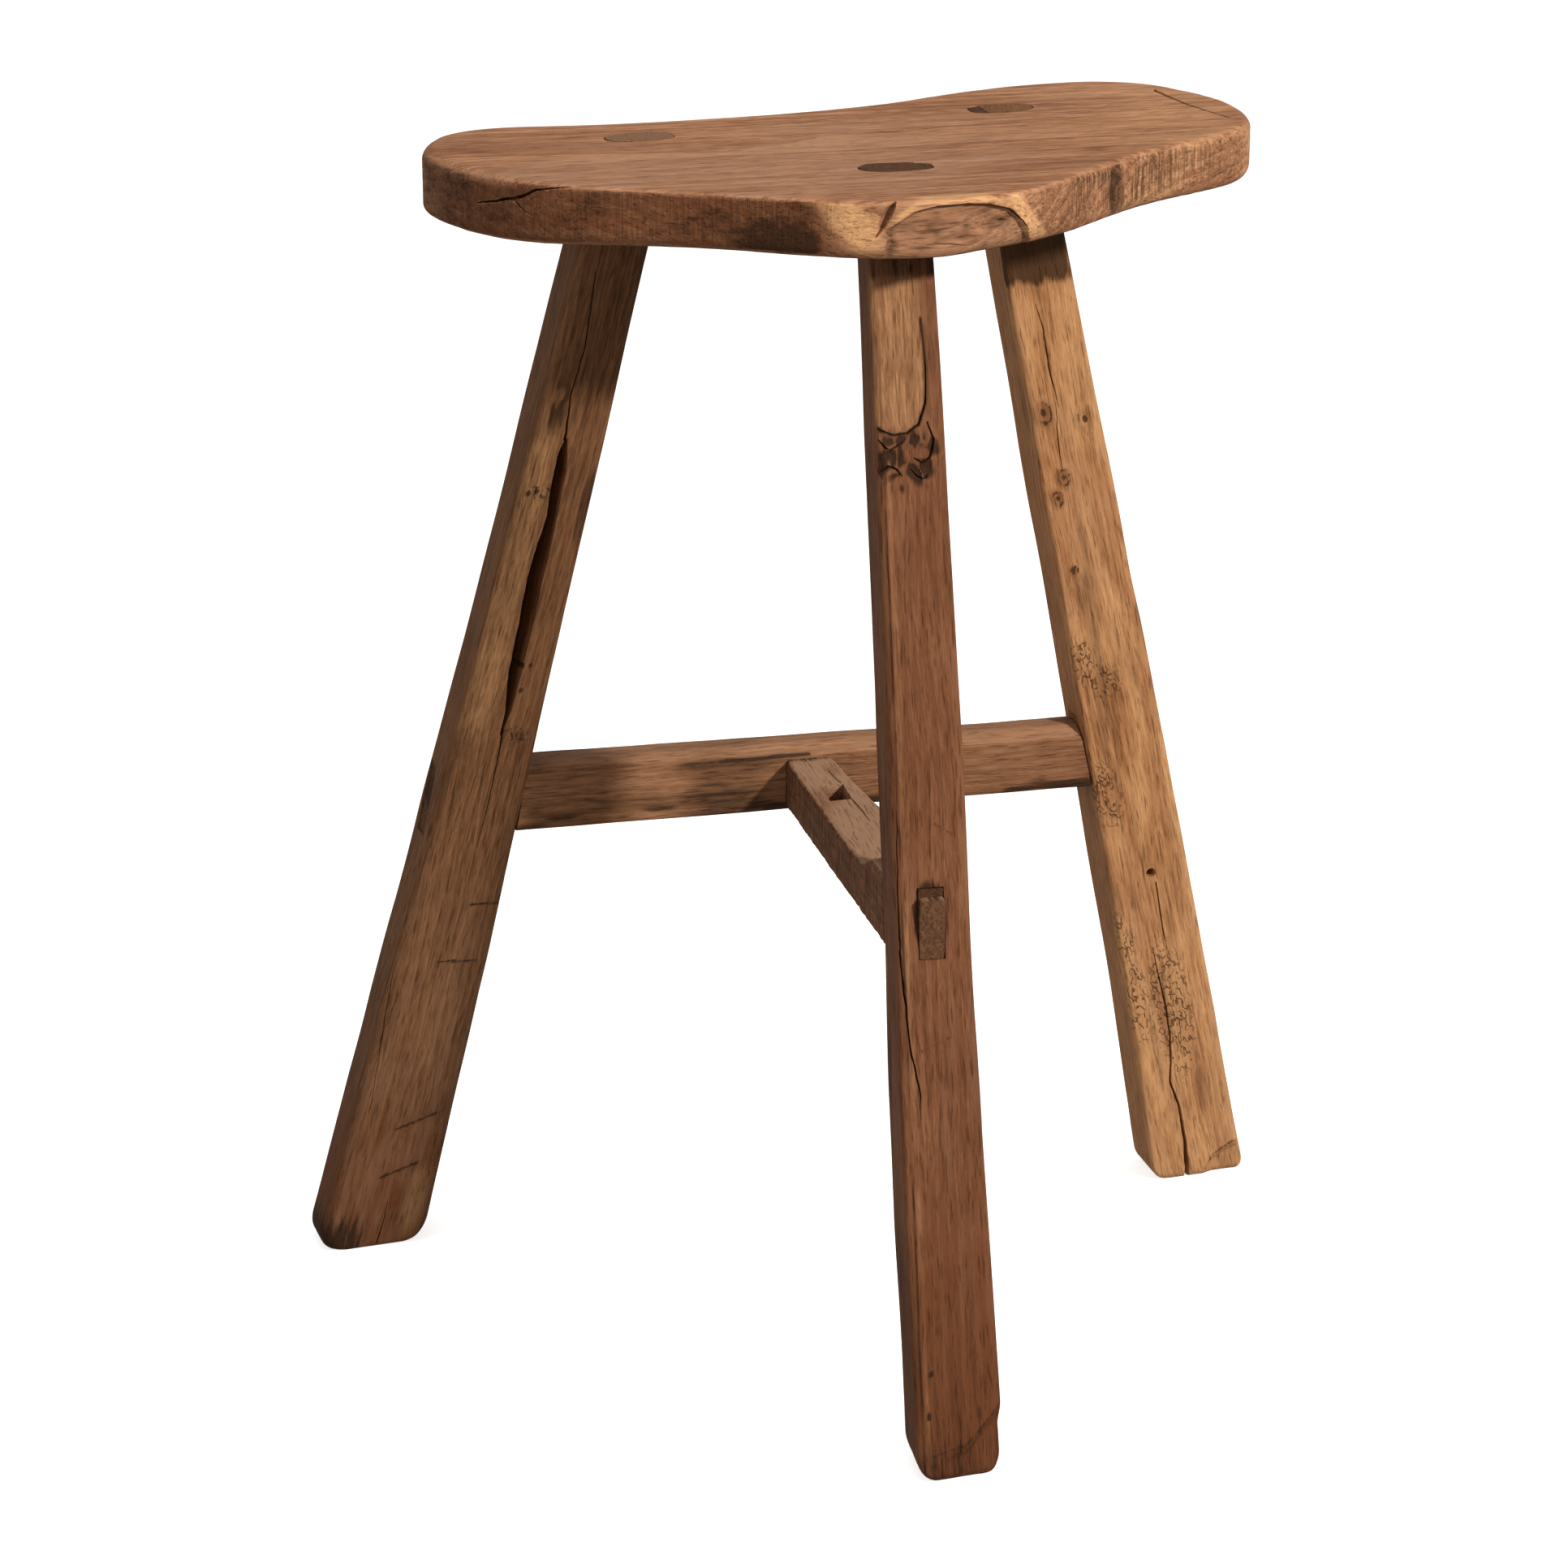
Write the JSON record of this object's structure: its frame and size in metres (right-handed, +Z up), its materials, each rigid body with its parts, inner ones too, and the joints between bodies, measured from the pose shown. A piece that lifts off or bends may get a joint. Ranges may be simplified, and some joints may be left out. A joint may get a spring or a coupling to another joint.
{
  "type": "three-legged stool",
  "caption": "Rustic solid-wood stool: half-moon plank seat on splayed legs with wedged through tenons, braced by a T of stretchers.",
  "frame": {"origin": "on the floor under the middle of the stool's bounding box", "axes": "+Z up through the seat; +X along the back stretcher, from the left leg to the right leg; the single front leg stands towards -Y"},
  "size_m": [0.4179, 0.2813, 0.5],
  "materials": {
    "seat_wood": "worn waxed, red-brown with grey wear",
    "leg_wood": "worn waxed, mid brown",
    "leg_wood_light": "worn waxed, golden brown",
    "leg_wood_red": "worn waxed, red-brown",
    "stretcher_wood": "worn, dry",
    "wedge_wood": "dark end grain"
  },
  "bodies": {
    "root": {"seat": "seat_wood", "left_leg": "leg_wood", "right_leg": "leg_wood_light", "front_leg": "leg_wood_red", "back_stretcher": "stretcher_wood", "front_stretcher": "stretcher_wood", "seat_wedge_left": "wedge_wood", "seat_wedge_right": "wedge_wood", "seat_wedge_front": "wedge_wood", "front_tenon_wedge": "wedge_wood"}
  },
  "joints": []
}
